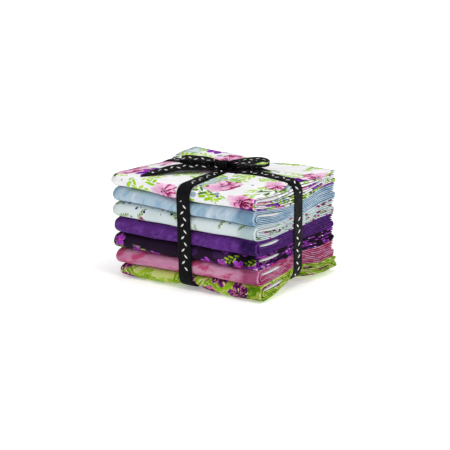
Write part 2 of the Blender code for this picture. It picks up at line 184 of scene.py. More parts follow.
def seam_height(level, x, y):
    """Height of the seam under piece number level, squeezed by the tied ribbon."""
    height = SEAM_HEIGHTS[level]
    share = height / STACK_HEIGHT
    from_top = math.exp((height - STACK_HEIGHT) / SOFTNESS)
    from_base = math.exp(-height / SOFTNESS)
    end_pinch_top = np.where(x < 0.0, END_PINCH_TOP_LEFT, END_PINCH_TOP_RIGHT)
    end_pinch = END_PINCH_BOTTOM + (end_pinch_top - END_PINCH_BOTTOM) * share
    side_pinch = SIDE_PINCH_TOP * from_top + SIDE_PINCH_BOTTOM * from_base
    settling = TOP_SAG * from_top * (across(y) + along(x))
    if level == TOP_LEVEL:
        end_pinch = np.where(x < 0.0, END_PINCH_TOP_LEFT, CREST_END_PINCH_RIGHT)
        side_pinch = CREST_SIDE_PINCH
        settling = crest_swell(x, y)
    beside_end = soft_ramp(np.abs(x), HALF_LENGTH - END_REACH, HALF_LENGTH)
    beside_side = soft_ramp(np.abs(y), HALF_DEPTH - SIDE_REACH, HALF_DEPTH)
    result = height - LEFT_RISES[level] * x / HALF_LENGTH + wobble(x, y, height)
    result = result + end_pinch * across(y) * beside_end + side_pinch * along(x) * beside_side
    result = result + settling
    if level == 0:
        print_lift = BASE_PRINT * (under_band(x, RIBBON_X) + under_band(y, RIBBON_Y))
        result = result + BASE_CLEARANCE + print_lift
        far = soft_ramp(y, RIBBON_Y + RIBBON_FLAT, RIBBON_Y + RIBBON_FLAT + FAR_FADE)
        result = result + np.where(x > 0.0, FAR_CORNER_LIFT * far * beside_end, 0.0)
    else:
        result = result + BASE_DOME * from_base * across(y) * along(x)
    return result


sample = seam_height(TOP_LEVEL, np.array([-0.069, 0.0, 0.069]), np.array([0.0, 0.0, 0.0]))
print("top of the stack along the ribbon in mm:", (sample * 1000).round(2))

# %% [markdown]
# A fat quarter is folded in four along its width, which gives the layers seen from the front,
# and in four along its length, which gives the ridges seen at the right end.
# The section below is a table of stations. A station stores where the middle of the folded strip
# lies, and how that place shifts with the lane, because an outer layer goes round an inner one.
# Lanes are counted in ridges, from -0.2 for the outermost layer to 1.2 for the innermost.

# %% The folded section of one fat quarter
RIDGES = 8
TOP_RIDGE = RIDGES - 1
LANE_SPREAD = 0.20
RIDGE_STEP = 0.0010
BACK_FOLD_REACH = 0.0022
BACK_FOLD_STEP = 0.0015
INNER_FOLD_SETBACK = 0.0008
TIGHT_FOLD_REACH = 0.0007
TIGHT_FOLD_STEP = 0.0013
SELVAGE_END_SETBACK = 0.0014
SELVAGE_END_STEP = 0.0005
INNER_END_SETBACK = 0.0030
RUN_STEPS = 26
FRONT_STEPS = 14
BACK_STEPS = 8
TIGHT_STEPS = 7
CLOTH_THICKNESS = 0.00030
FRONT_PLANE_TOP = -0.0592
FRONT_PLANE_LEAN = 0.047
FRONT_PLANE_HEIGHT = 0.080
FACE_CLEARANCE = 0.0005

Station = namedtuple("Station", "y y_step ridge ridge_step")


def front_plane(height):
    """The leaning front of the stack under the crosswise band."""
    return FRONT_PLANE_TOP + FRONT_PLANE_LEAN * (FRONT_PLANE_HEIGHT - height)


def piece_front(level):
    middle = (SEAM_HEIGHTS[level] + SEAM_HEIGHTS[level + 1]) / 2
    return front_plane(middle) + FAT_QUARTERS[level].front + FACE_CLEARANCE


def folded_section(level):
    """Stations of the section: four runs joined by a front, a back and an inner front fold."""
    front = piece_front(level) + FRONT_FOLD_REACH
    inner_front = front + INNER_FOLD_SETBACK
    back = FAT_QUARTERS[level].back - FACE_CLEARANCE - BACK_FOLD_REACH
    start = FAT_QUARTERS[level].back - SELVAGE_END_SETBACK
    inner_end = FAT_QUARTERS[level].back - INNER_END_SETBACK
    stations = []

    def run(first, first_step, last, ridge, ridge_step):
        for step in range(RUN_STEPS):
            share = step / RUN_STEPS
            y = first + (last - first) * share
            stations.append(Station(y, first_step * (1.0 - share), ridge, ridge_step))

    def bend(y, reach, reach_step, middle, swing, swing_step, steps):
        for step in range(steps):
            angle = math.pi * step / steps
            stations.append(Station(y + reach * math.sin(angle), reach_step * math.sin(angle),
                                    middle + swing * math.cos(angle), swing_step * math.cos(angle)))

    run(start, -SELVAGE_END_STEP, front, 7.0, -1.0)
    bend(front, -FRONT_FOLD_REACH, RIDGE_STEP, 3.5, 3.5, -1.0, FRONT_STEPS)
    run(front, 0.0, back, 0.0, 1.0)
    bend(back, BACK_FOLD_REACH, -BACK_FOLD_STEP, 1.5, -1.5, 1.0, BACK_STEPS)
    run(back, 0.0, inner_front, 3.0, -1.0)
    bend(inner_front, -TIGHT_FOLD_REACH, -TIGHT_FOLD_STEP, 3.5, -0.5, -1.0, TIGHT_STEPS)
    run(inner_front, 0.0, inner_end, 4.0, 1.0)
    stations.append(Station(inner_end, 0.0, 4.0, 1.0))
    return stations


print("stations in a section:", len(folded_section(0)))

# %% [markdown]
# The other way, the cloth zigzags: out to the right, back to the left, out and back again.
# A column of the sheet stores its share of the way to the right end, how far its fold bulges
# past that end, and its lane.

# %% The zigzag along the length
PANEL_STEPS = 24
END_FOLD_STEPS = 8
LEFT_FOLD_STEPS = 5
END_FOLD_REACH = 0.0011
LEFT_FOLD_REACH = 0.0004

Column = namedtuple("Column", "share bulge lane")


def zigzag_columns():
    columns = []

    def panel(start, end, lane):
        for step in range(PANEL_STEPS):
            columns.append(Column(start + (end - start) * step / PANEL_STEPS, 0.0, lane))

    def end_fold(share, reach, first_lane, last_lane, steps):
        middle = (first_lane + last_lane) / 2
        swing = (first_lane - last_lane) / 2
        for step in range(steps):
            angle = math.pi * step / steps
            lane = middle + swing * math.cos(angle)
            columns.append(Column(share, reach * math.sin(angle), lane))

    panel(0.0, 1.0, -LANE_SPREAD)
    end_fold(1.0, END_FOLD_REACH, -LANE_SPREAD, LANE_SPREAD, END_FOLD_STEPS)
    panel(1.0, 0.0, LANE_SPREAD)
    end_fold(0.0, -LEFT_FOLD_REACH, LANE_SPREAD, 1.0 - LANE_SPREAD, LEFT_FOLD_STEPS)
    panel(0.0, 1.0, 1.0 - LANE_SPREAD)
    end_fold(1.0, END_FOLD_REACH, 1.0 - LANE_SPREAD, 1.0 + LANE_SPREAD, END_FOLD_STEPS)
    panel(1.0, 0.0, 1.0 + LANE_SPREAD)
    columns.append(Column(0.0, 0.0, 1.0 + LANE_SPREAD))
    return columns


COLUMNS = zigzag_columns()
print("columns in a sheet:", len(COLUMNS))

# %% [markdown]
# Near the front the layers open into a slot, and the pale selvage edge shows inside it.
# The slot is a gentle stretch of the ridge count: narrow at the front, then open, then closed
# again where the selvage ends.
# The corners of the stack are rounded where the ribbon pulls over them, so each layer's end is
# drawn in by an amount that depends on how deep the layer lies under the face.

# %% Placing a point of the cloth
SELVAGE_LENGTH = 0.0225
SELVAGE_LEAD = 0.0010
SELVAGE_TAPER = 0.0015
SELVAGE_KNEE = 0.0004
PAINTED_SHADE_REACH = 0.75
SLOT_OPENS = 0.010
SLOT_CLOSES = 0.007
SLOT_NARROW = 0.35
SLOT_RIDGES = (-1.0, 0.0, 3.21, 3.79, 4.21, 4.79, 5.21, 5.79, 6.21, 6.79, 9.0)
SLOT_SHIFTS = (0.0, 0.0, -0.34, -0.50, -0.62, -0.80, 0.12, 0.34, 0.18, 0.0, 0.0)
CORNER_RADIUS = 0.009
BACK_PLANE = 0.0582
LEFT_END_ROUNDING = 0.0022
LEFT_END_POWER = 2.5
RIGHT_END_UNEVENNESS = 0.00025
BAND_PRESS = 0.65
PRESS_FADE = 0.004
FRONT_UNEVENNESS = 0.0003


def corner_inset(depth, radius):
    """How far a rounded corner of the stack draws in at a depth below its face."""
    reach = np.maximum(radius - np.maximum(depth, 0.0), 0.0)
    return radius - np.sqrt(np.maximum(radius * radius - reach * reach, 0.0))


def between_seams(level, x, y, share):
    low = seam_height(level, x, y) + SEAM_MARGIN
    high = seam_height(level + 1, x, y) - SEAM_MARGIN
    return low + share * (high - low)


def place_cloth(level, way, bulge, y, ridge):
    """Points of the cloth's middle surface, at rest in the tied stack."""
    piece = FAT_QUARTERS[level]
    from_front = y - piece_front(level) - FRONT_FOLD_REACH - INNER_FOLD_SETBACK
    opening = SLOT_NARROW + (1.0 - SLOT_NARROW) * soft_ramp(from_front, 0.0, SLOT_OPENS)
    opening = opening * (1.0 - soft_ramp(from_front, SELVAGE_LENGTH, SELVAGE_LENGTH + SLOT_CLOSES))
    share = (ridge + opening * np.interp(ridge, SLOT_RIDGES, SLOT_SHIFTS)) / TOP_RIDGE
    nominal = (2.0 * way - 1.0) * HALF_LENGTH
    height = between_seams(level, nominal, y, share)
    below_top = seam_height(TOP_LEVEL, nominal, y) - SEAM_MARGIN - height
    above_base = height - seam_height(0, nominal, y) - SEAM_MARGIN
    depth = np.minimum(below_top, above_base)
    end_inset = corner_inset(depth, CORNER_RADIUS * across(y) ** 2)
    side_inset = corner_inset(depth, CORNER_RADIUS * along(nominal) ** 2)

    uneven = np.sin(2.3 * ridge + 1.7 * level) + 0.25 * np.sin(60.0 * y + 0.9 * ridge + level)
    near_corner = soft_ramp(-y, HALF_DEPTH - SIDE_REACH, HALF_DEPTH - FRONT_FOLD_REACH)
    right_loose = piece.right + RIGHT_END_UNEVENNESS * uneven - piece.near_inset * near_corner
    right_held = min(piece.right, END_PLANE) - end_inset
    right = right_loose + (right_held - right_loose) * across(y)
    rounding = LEFT_END_ROUNDING * np.abs(2.0 * share - 1.0) ** LEFT_END_POWER
    left_loose = piece.left + rounding + 0.6 * RIGHT_END_UNEVENNESS * uneven
    left_held = max(piece.left, -END_PLANE) + end_inset
    left = left_loose + (left_held - left_loose) * across(y)
    beside_band = soft_ramp(np.abs(y - RIBBON_Y), RIBBON_WIDTH / 2, RIBBON_WIDTH / 2 + PRESS_FADE,
                            FINE_KNEE)
    x = left + (right - left) * way + bulge * (1.0 - BAND_PRESS * (1.0 - beside_band))

    inward = HALF_DEPTH - SIDE_REACH
    at_front = soft_ramp(-y, inward, HALF_DEPTH - FRONT_FOLD_REACH)
    at_back = soft_ramp(y, inward, HALF_DEPTH - FRONT_FOLD_REACH)
    loose = 1.0 - along(nominal)
    new_y = y + at_front * along(nominal) * (side_inset - piece.front)
    new_y = new_y - at_back * along(nominal) * (side_inset + max(0.0, piece.back - BACK_PLANE))
    wave = np.sin(62.0 * x + 2.6 * level) + 0.5 * np.sin(140.0 * x + 1.9 * level)
    new_y = new_y + FRONT_UNEVENNESS * at_front * loose * wave
    z = between_seams(level, x, new_y, share)
    return np.stack([x, new_y + plan_shift(x, new_y), z], axis=-1)


# %% [markdown]
# Now the sheet becomes a mesh: a grid of quads, one row for each station of the section.
# Its UV map is the flat cloth in metres, so a print runs over the folds as it would on the
# real piece. Solidify gives the cloth its thickness. A point attribute marks the selvage.

# %% Building a folded sheet
def grid_mesh(name, points, flat, closed=False):
    """A mesh through a grid of points, with a UV map in metres from flat, an array like points."""
    rows, columns = points.shape[:2]
    numbers = np.arange(rows * columns).reshape(rows, columns)
    if closed:
        numbers = np.vstack([numbers, numbers[:1]])
    quads = np.stack([numbers[:-1, :-1], numbers[:-1, 1:], numbers[1:, 1:], numbers[1:, :-1]], -1)
    mesh = bpy.data.meshes.new(name)
    mesh.from_pydata(points.reshape(-1, 3).tolist(), [], quads.reshape(-1, 4).tolist())
    corners = quads.reshape(-1)
    layer = mesh.uv_layers.new(name="UVMap")
    values = flat.reshape(-1, 2)[corners].astype(np.float32)
    if closed:
        last_row = (numbers.shape[0] - 2) * (columns - 1) * 4
        seam = values[last_row:]
        wrapped = seam[:, 1] < flat[1, 0, 1]
        seam[wrapped, 1] += flat[-1, 0, 1] + (flat[1, 0, 1] - flat[0, 0, 1])
    layer.data.foreach_set("uv", values.ravel())
    mesh.shade_smooth()
    return mesh


def add_piece(mesh, thickness):
    """An object for the mesh, with its thickness, placed in the frame of the solids."""
    mesh.transform(Matrix.Translation(SHIFT))
    piece = bpy.data.objects.new(mesh.name, mesh)
    bpy.context.scene.collection.objects.link(piece)
    solid = piece.modifiers.new("thickness", "SOLIDIFY")
    solid.thickness = thickness
    solid.offset = 0.0
    solid.use_even_offset = True
    return piece


def path_lengths(points):
    """Running length along the rows of a path of points."""
    steps = np.linalg.norm(np.diff(points, axis=0), axis=-1)
    return np.concatenate([[0.0], np.cumsum(steps)])


def fold_sheet(level):
    """The folded fat quarter at that level of the stack."""
    stations = np.array(folded_section(level))
    columns = np.array(COLUMNS)
    way, bulge, lane = (columns[:, index][None, :] for index in range(3))
    y = stations[:, 0:1] + stations[:, 1:2] * lane
    ridge = stations[:, 2:3] + stations[:, 3:4] * lane
    way, bulge = (np.broadcast_to(values, y.shape) for values in (way, bulge))
    points = place_cloth(level, way, bulge, y, ridge)
    middle_column = PANEL_STEPS // 2
    cloth_v = path_lengths(points[:, middle_column])
    cloth_u = path_lengths(points[RUN_STEPS // 2])
    flat = np.stack(np.meshgrid(cloth_u, cloth_v), axis=-1)
    mesh = grid_mesh(FAT_QUARTERS[level].name + "_cloth", points, flat)
    slot_front = piece_front(level) + FRONT_FOLD_REACH + INNER_FOLD_SETBACK
    starts = slot_front - SELVAGE_LEAD
    ends = slot_front + SELVAGE_LENGTH
    in_length = soft_ramp(y, starts, starts + SELVAGE_TAPER, SELVAGE_KNEE)
    in_length = in_length * (1.0 - soft_ramp(y, ends - SELVAGE_TAPER, ends, SELVAGE_KNEE))
    in_lane = (lane > 1.0 - 1.2 * LANE_SPREAD) * (way > 0.9) * (ridge > 4.5) * (ridge < 5.5)
    selvage = mesh.attributes.new("selvage", "FLOAT", "POINT")
    selvage.data.foreach_set("value", (in_length * in_lane).ravel().astype(np.float32))
    # Painted shade: points inside the right-end folds, away from the fold tips, the outer faces and
    # the selvage, are marked for darker colour.
    out_of_fold = np.clip(bulge / (PAINTED_SHADE_REACH * END_FOLD_REACH), 0.0, 1.0)
    outer_face = (lane < -0.9 * LANE_SPREAD) * ((ridge < 0.5) + (ridge > TOP_RIDGE - 0.5))
    painted_fold_shade_share = (1.0 - out_of_fold) * (1.0 - outer_face) * (way > 0.9)
    painted_fold_shade_share = painted_fold_shade_share * (1.0 - in_length * in_lane)
    shelter = mesh.attributes.new("shelter", "FLOAT", "POINT")
    shelter.data.foreach_set("value", painted_fold_shade_share.ravel().astype(np.float32))
    return add_piece(mesh, CLOTH_THICKNESS), cloth_u[-1], cloth_v[-1]


# %% [markdown]
# The prints are drawn with shader nodes. A wire stands for a value that runs between nodes, and a
# sum with a wire makes the maths node for it, so a pattern reads like the sum it is.
# Colours are written the way a dyer's card gives them, and turned into linear light.

# %% Wires between shader nodes
class Wire:
    """A value on its way between shader nodes. A sum with it makes a maths node."""

    def __init__(self, socket):
        self.socket = socket

    def __add__(self, other):
        return maths("ADD", self, other)

    def __sub__(self, other):
        return maths("SUBTRACT", self, other)

    def __rsub__(self, other):
        return maths("SUBTRACT", other, self)

    def __mul__(self, other):
        return maths("MULTIPLY", self, other)

    def __truediv__(self, other):
        return maths("DIVIDE", self, other)

    def __rtruediv__(self, other):
        return maths("DIVIDE", other, self)

    def __pow__(self, other):
        return maths("POWER", self, other)

    def __mod__(self, other):
        return maths("MODULO", self, other)

    def __lt__(self, other):
        return maths("LESS_THAN", self, other)

    def __abs__(self):
        return maths("ABSOLUTE", self)

    def spread(self, low, high, first=0.0, last=1.0):
        """The value between low and high, spread between two new ends and held there."""
        return Wire(add_node(self, "MapRange", self, low, high, first, last, clamp=True).outputs[0])


def plug(value, socket):
    if isinstance(value, Wire):
        socket.id_data.links.new(value.socket, socket)
    else:
        socket.default_value = value


def add_node(beside, kind, *values, **settings):
    """A node in the same tree as a wire, with values or wires in its first sockets."""
    node = beside.socket.id_data.nodes.new("ShaderNode" + kind)
    for label, setting in settings.items():
        setattr(node, label, setting)
    for value, socket in zip(values, node.inputs):
        plug(value, socket)
    return node


def first_wire(values):
    return next(value for value in values if isinstance(value, Wire))


def maths(operation, *values):
    node = add_node(first_wire(values), "Math", *values, operation=operation)
    return Wire(node.outputs[0])


def vectors(operation, *places):
    """Maths on whole places."""
    node = add_node(places[0], "VectorMath", *places, operation=operation)
    return Wire(node.outputs["Value" if operation == "LENGTH" else "Vector"])


def resize(place, share):
    node = add_node(place, "VectorMath", place, operation="SCALE")
    plug(share, node.inputs["Scale"])
    return Wire(node.outputs["Vector"])


# %% [markdown]
# A few more helpers: colours, mixes, soft noise, bumps, and node groups with named sockets.

# %% Helpers for colours and groups
def light(code):
    """A linear colour from a six-digit colour code."""
    parts = [int(code[index:index + 2], 16) / 255 for index in (0, 2, 4)]
    linear = [part / 12.92 if part <= 0.04045 else ((part + 0.055) / 1.055) ** 2.4
              for part in parts]
    return (*linear, 1.0)


def mix(factor, first, second, blend="MIX"):
    beside = first_wire((factor, first, second))
    node = add_node(beside, "Mix", data_type="RGBA", blend_type=blend)
    for value, number in ((factor, 0), (first, 6), (second, 7)):
        plug(value, node.inputs[number])
    return Wire(node.outputs[2])


def grey(value):
    return Wire(add_node(value, "CombineColor", value, value, value).outputs[0])


def parts_of(value, kind="XYZ"):
    """The separate parts of a place, or of a colour."""
    return [Wire(part) for part in add_node(value, "Separate" + kind, value).outputs]


def place_of(*parts):
    return Wire(add_node(parts[0], "CombineXYZ", *parts).outputs[0])


def noise(coords, size, detail=2.0, roughness=0.5):
    """Soft cloudy noise with clouds about size metres across."""
    node = add_node(coords, "TexNoise", noise_dimensions="2D")
    sockets = {"Vector": coords, "Scale": 1.0 / size, "Detail": detail, "Roughness": roughness}
    for label, value in sockets.items():
        plug(value, node.inputs[label])
    return Wire(node.outputs["Fac"])


def bump(height, strength, depth, below=None):
    """A normal that rises with the height, over another bump if one is given."""
    node = add_node(height, "Bump")
    for label, value in {"Strength": strength, "Distance": depth, "Height": height}.items():
        plug(value, node.inputs[label])
    if below is not None:
        plug(below, node.inputs["Normal"])
    return Wire(node.outputs["Normal"])


def open_group(name, outputs, **inputs):
    """A new node group that takes the flat cloth's coordinates and named numbers."""
    tree = bpy.data.node_groups.new(name, "ShaderNodeTree")
    tree.interface.new_socket(name="Coords", in_out="INPUT", socket_type="NodeSocketVector")
    for label, value in inputs.items():
        socket = tree.interface.new_socket(name=label, in_out="INPUT",
                                           socket_type="NodeSocketFloat")
        socket.default_value = value
    for label in outputs.split():
        tree.interface.new_socket(name=label, in_out="OUTPUT", socket_type="NodeSocketFloat")
    tree.nodes.new("NodeGroupOutput")
    return {socket.name: Wire(socket) for socket in tree.nodes.new("NodeGroupInput").outputs}


def close_group(inlet, **marks):
    """Send the marks out of the group, and give the group back."""
    tree = inlet["Coords"].socket.id_data
    for label, mark in marks.items():
        plug(mark, tree.nodes["Group Output"].inputs[label])
    return tree


def use_group(group, coords, **values):
    """Place a group with its own values, and give back its outputs."""
    node = add_node(coords, "Group", node_tree=group)
    for label, value in {"Coords": coords, **values}.items():
        plug(value, node.inputs[label])
    return {socket.name: Wire(socket) for socket in node.outputs}


def new_material(name, **settings):
    """A material, its shader, and the flat cloth's coordinates."""
    material = bpy.data.materials.new(name)
    material.use_nodes = True
    shader = material.node_tree.nodes["Principled BSDF"]
    for label, value in settings.items():
        shader.inputs[label.replace("_", " ")].default_value = value
    place = material.node_tree.nodes.new("ShaderNodeUVMap")
    place.uv_map = "UVMap"
    return material, shader, Wire(place.outputs["UV"])


# %% [markdown]
# Plain-woven cotton shows its threads only from close up: warp and weft pass over each other
# in turn. The weave group puts out a height for the bump and a faint tone for the colour.

# %% Cotton weave
THREAD = 0.00042
THREAD_WANDER = 0.0006


def make_weave_group():
    inlet = open_group("cotton weave", "Height Tone", Thread=THREAD)
    wavy = noise(inlet["Coords"], 0.004, 1.0)
    warp, weft = (maths("SINE", (part + wavy * THREAD_WANDER) / inlet["Thread"] * math.pi)
                  for part in parts_of(inlet["Coords"])[:2])
    over = maths("GREATER_THAN", warp * weft, 0.0)
    height = abs(warp) * over + abs(weft) * (1.0 - over)
    slubs = noise(inlet["Coords"], 0.0012)
    return close_group(inlet, Height=height, Tone=(height + slubs).spread(0.4, 1.6, 0.94, 1.04))


WEAVE = make_weave_group()

# %% [markdown]
# Quilting prints repeat a few motifs at scattered places. The scatter group cuts the cloth into
# uneven cells and puts out, for each cell, a polar place round the cell's own point and two
# chances. Flower heads, leafy stems and dots are all drawn from it.

# %% Scatter
def make_scatter_group():
    inlet = open_group("scatter", "Angle Distance First Third", Cell=0.03, Seed=0.0, Jitter=0.7)
    scaled = resize(inlet["Coords"], 1.0 / inlet["Cell"])
    scaled = vectors("ADD", scaled, place_of(inlet["Seed"], inlet["Seed"] * 1.7))
    cells = add_node(scaled, "TexVoronoi", voronoi_dimensions="2D")
    for label, value in {"Vector": scaled, "Scale": 1.0, "Randomness": inlet["Jitter"]}.items():
        plug(value, cells.inputs[label])
    local = vectors("SUBTRACT", scaled, Wire(cells.outputs["Position"]))
    local = resize(local, inlet["Cell"])
    sideways, forward = parts_of(local)[:2]
    first, turn, third = parts_of(Wire(cells.outputs["Color"]), "Color")
    return close_group(inlet, Angle=maths("ARCTAN2", forward, sideways) + turn * math.tau,
                       Distance=vectors("LENGTH", local), First=first, Third=third)


SCATTER = make_scatter_group()
MOTIF_EDGE = 0.00022


def inside(outline, distance):
    """1 where the distance is inside the outline, with a soft printed edge."""
    share = (outline - distance) / MOTIF_EDGE + 0.5
    share.socket.node.use_clamp = True
    return share


def scatter(inlet, **jitter):
    """The scattered places of a motif, and 1 or 0 for whether the motif is printed there."""
    spot = use_group(SCATTER, inlet["Coords"], Cell=inlet["Cell"], Seed=inlet["Seed"], **jitter)
    return spot, spot["First"] < inlet["Share"]


# %% [markdown]
# A flower head is an outline that swells and narrows with the angle, once for each petal.
# A little noise keeps it hand-painted. Streaks run out from the middle, for darker strokes, and
# gathered streaks are stronger on one side of the flower than on the other.

# %% Flower heads
CORE_SHARE = 0.2
GATHERING = 0.10


def make_flower_group():
    inlet = open_group("flower heads", "Mask Core Rim Streak Gathered", Cell=0.03, Seed=0.0,
                       Radius=0.008, Petals=5.0, Notch=0.45, Share=0.7, Rough=0.4)
    spot, present = scatter(inlet)
    radius, notch, angle = inlet["Radius"], inlet["Notch"], spot["Angle"]
    painted = noise(inlet["Coords"], radius * 0.55)
    distance = spot["Distance"] + (painted - 0.5) * (radius * inlet["Rough"])
    lobe = abs(maths("COSINE", angle * (inlet["Petals"] * 0.5))) ** 0.6
    size = radius * spot["Third"].spread(0.0, 1.0, 0.75, 1.1)
    outline = size * ((1.0 - notch) + notch * lobe)
    streak = noise(place_of(angle * 0.011, spot["Distance"] * 0.8), 0.005, 3.0)
    return close_group(inlet, Mask=inside(outline, distance) * present,
                       Core=inside(size * CORE_SHARE, distance) * present,
                       Rim=distance / outline, Streak=streak,
                       Gathered=streak + maths("COSINE", angle) * GATHERING)


FLOWERS = make_flower_group()

# %% [markdown]
# A leafy stem is a gently bent line with pointed leaves leaning forward on both sides. The place
# beside the stem is sheared by the lean, so one leaf shape repeats along it at an even pitch.

# %% Leafy stems
LEAF_LEAN = math.radians(42.0)
STEM_BEND = 9.0
STEM_HALF_WIDTH = 0.00016


def make_stem_group():
    inlet = open_group("leafy stems", "Mask Stem Shade", Cell=0.03, Seed=0.0, Length=0.012,
                       Pitch=0.004, Leaf=0.006, Width=0.001, Share=0.7)
    spot, present = scatter(inlet)
    forward = spot["Distance"] * maths("COSINE", spot["Angle"])
    sideways = spot["Distance"] * maths("SINE", spot["Angle"]) - forward * forward * STEM_BEND
    beside = abs(sideways)
    left = sideways < 0.0
    sheared = forward - beside / math.tan(LEAF_LEAN)
    turns = sheared / inlet["Pitch"] + left * 0.5
    number = maths("FLOOR", turns)
    across_leaf = abs((turns - number - 0.5) * (inlet["Pitch"] * math.sin(LEAF_LEAN)))
    key = place_of(number, left, spot["Third"] * 53.0)
    chance = add_node(key, "TexWhiteNoise", key, noise_dimensions="3D").outputs["Color"]
    longer, paler = parts_of(Wire(chance), "Color")[:2]
    part_way = abs(sheared) / inlet["Length"]
    taper = part_way.spread(0.0, 1.0, 1.0, 0.45)
    leaf_length = inlet["Leaf"] * (taper * longer.spread(0.0, 1.0, 0.75, 1.1))
    part = beside / math.sin(LEAF_LEAN) / leaf_length
    half_width = part * (1.0 - part) * 4.0 * inlet["Width"]
    on_stem = present * (part_way < 1.0)
    reach = abs(forward) < inlet["Length"]
    return close_group(inlet, Mask=inside(half_width, across_leaf) * on_stem,
                       Stem=inside(STEM_HALF_WIDTH, beside) * reach * present,
                       Shade=paler * 0.7 + noise(inlet["Coords"], 0.003) * 0.3)


STEMS = make_stem_group()

# %% [markdown]
# Berries, buds and stamens are dots of uneven size at scattered places. Mottled cottons are dyed
# in soft clouds instead: broad patches, and a finer bloom within them.

# %% Dots and mottle
def make_dot_group():
    inlet = open_group("scattered dots", "Mask", Cell=0.01, Seed=0.0, Radius=0.001, Share=0.5)
    spot, present = scatter(inlet, Jitter=0.8)
    size = inlet["Radius"] * spot["Third"].spread(0.0, 1.0, 0.6, 1.1)
    return close_group(inlet, Mask=inside(size, spot["Distance"]) * present)


def make_mottle_group():
    inlet = open_group("dye mottle", "Broad Fine", Size=0.02, Stretch=1.0)
    sideways, forward = parts_of(inlet["Coords"])[:2]
    drawn = place_of((sideways + forward * 0.6) / inlet["Stretch"], forward)
    broad = noise(drawn, inlet["Size"], 3.0)
    fine = noise(drawn, inlet["Size"] * 0.2, 4.0, 0.65)
    return close_group(inlet, Broad=broad.spread(0.3, 0.7), Fine=fine.spread(0.3, 0.7))


DOTS = make_dot_group()
MOTTLE = make_mottle_group()
print("effect groups made:", [group.name for group in bpy.data.node_groups])

# %% [markdown]
# The seven designs are tables of printed layers, as a printer's screens are. The real prints are
# watercolour flowers and tonal blenders. These are plain motifs of the same colours and sizes in
# a layout of their own. A wash tints a colour where one of its motif's marks lies between low
# and high, and its strength there goes from first to last.

# %% Kinds of printed layer
Cloud = namedtuple("Cloud", "size stretch shift washes")
Leafing = namedtuple("Leafing", "cell seed length pitch leaf width share pale deep")
Bloom = namedtuple("Bloom", "cell seed radius petals notch share rough opacity ground washes heart")
Dots = namedtuple("Dots", "cell seed radius share opacity tint")
Cluster = namedtuple("Cluster", "cell seed reach share")
STILL = (0.0, 0.0, 0.0)
STAMEN_BLACK = light("150F1C")
HEART_PINK = light("E0457C")


def add_washes(colour, marks, washes):
    for mark, low, high, first, last, tint in washes:
        colour = mix(marks[mark].spread(low, high, first, last), colour, light(tint))
    return colour


def print_cloud(coords, colour, cloud, _):
    place = vectors("ADD", coords, cloud.shift)
    marks = use_group(MOTTLE, place, Size=cloud.size, Stretch=cloud.stretch)
    return add_washes(colour, marks, cloud.washes)


def print_stems(coords, colour, row, _):
    leaf = use_group(STEMS, coords, Cell=row.cell, Seed=row.seed, Length=row.length,
                     Pitch=row.pitch, Leaf=row.leaf, Width=row.width, Share=row.share)
    colour = mix(leaf["Stem"], colour, light(row.deep))
    shade = mix(leaf["Shade"], light(row.pale), light(row.deep))
    return mix(leaf["Mask"], colour, shade)


def print_blooms(coords, colour, row, only):
    bloom = use_group(FLOWERS, coords, Cell=row.cell, Seed=row.seed, Radius=row.radius,
                      Petals=row.petals, Notch=row.notch, Share=row.share, Rough=row.rough)
    petal = add_washes(light(row.ground), bloom, row.washes)
    colour = mix(bloom["Mask"] * row.opacity * only, colour, petal)
    if row.heart == "pink":
        colour = mix(bloom["Core"], colour, HEART_PINK)
    if row.heart == "stamens":
        stamens = use_group(DOTS, coords, Cell=0.0019, Seed=1.0, Radius=0.0008, Share=0.62)
        middle = bloom["Rim"].spread(0.20, 0.34, 1.0, 0.0)
        colour = mix(stamens["Mask"] * middle * bloom["Mask"], colour, STAMEN_BLACK)
    return colour


def print_dots(coords, colour, row, only):
    dots = use_group(DOTS, coords, Cell=row.cell, Seed=row.seed, Radius=row.radius,
                     Share=row.share)
    return mix(dots["Mask"] * row.opacity * only, colour, light(row.tint))


SCREENS = {Cloud: print_cloud, Leafing: print_stems, Bloom: print_blooms, Dots: print_dots}


def print_design(coords, ground, layers):
    """The printed colour of a design, layer after layer over its ground."""
    colour = light(ground)
    only = 1.0
    for layer in layers:
        if isinstance(layer, Cluster):
            cluster = use_group(SCATTER, coords, Cell=layer.cell, Seed=layer.seed)
            only = (cluster["Distance"] < layer.reach) * (cluster["First"] < layer.share)
        else:
            colour = SCREENS[type(layer)](coords, colour, layer, only)
    return colour


# %% [markdown]
# Each design has a sheen, a ground colour and its layers. Blooms of the white and the dark cloth
# are the largest motifs. The mint's buds and berries keep together in small clusters.

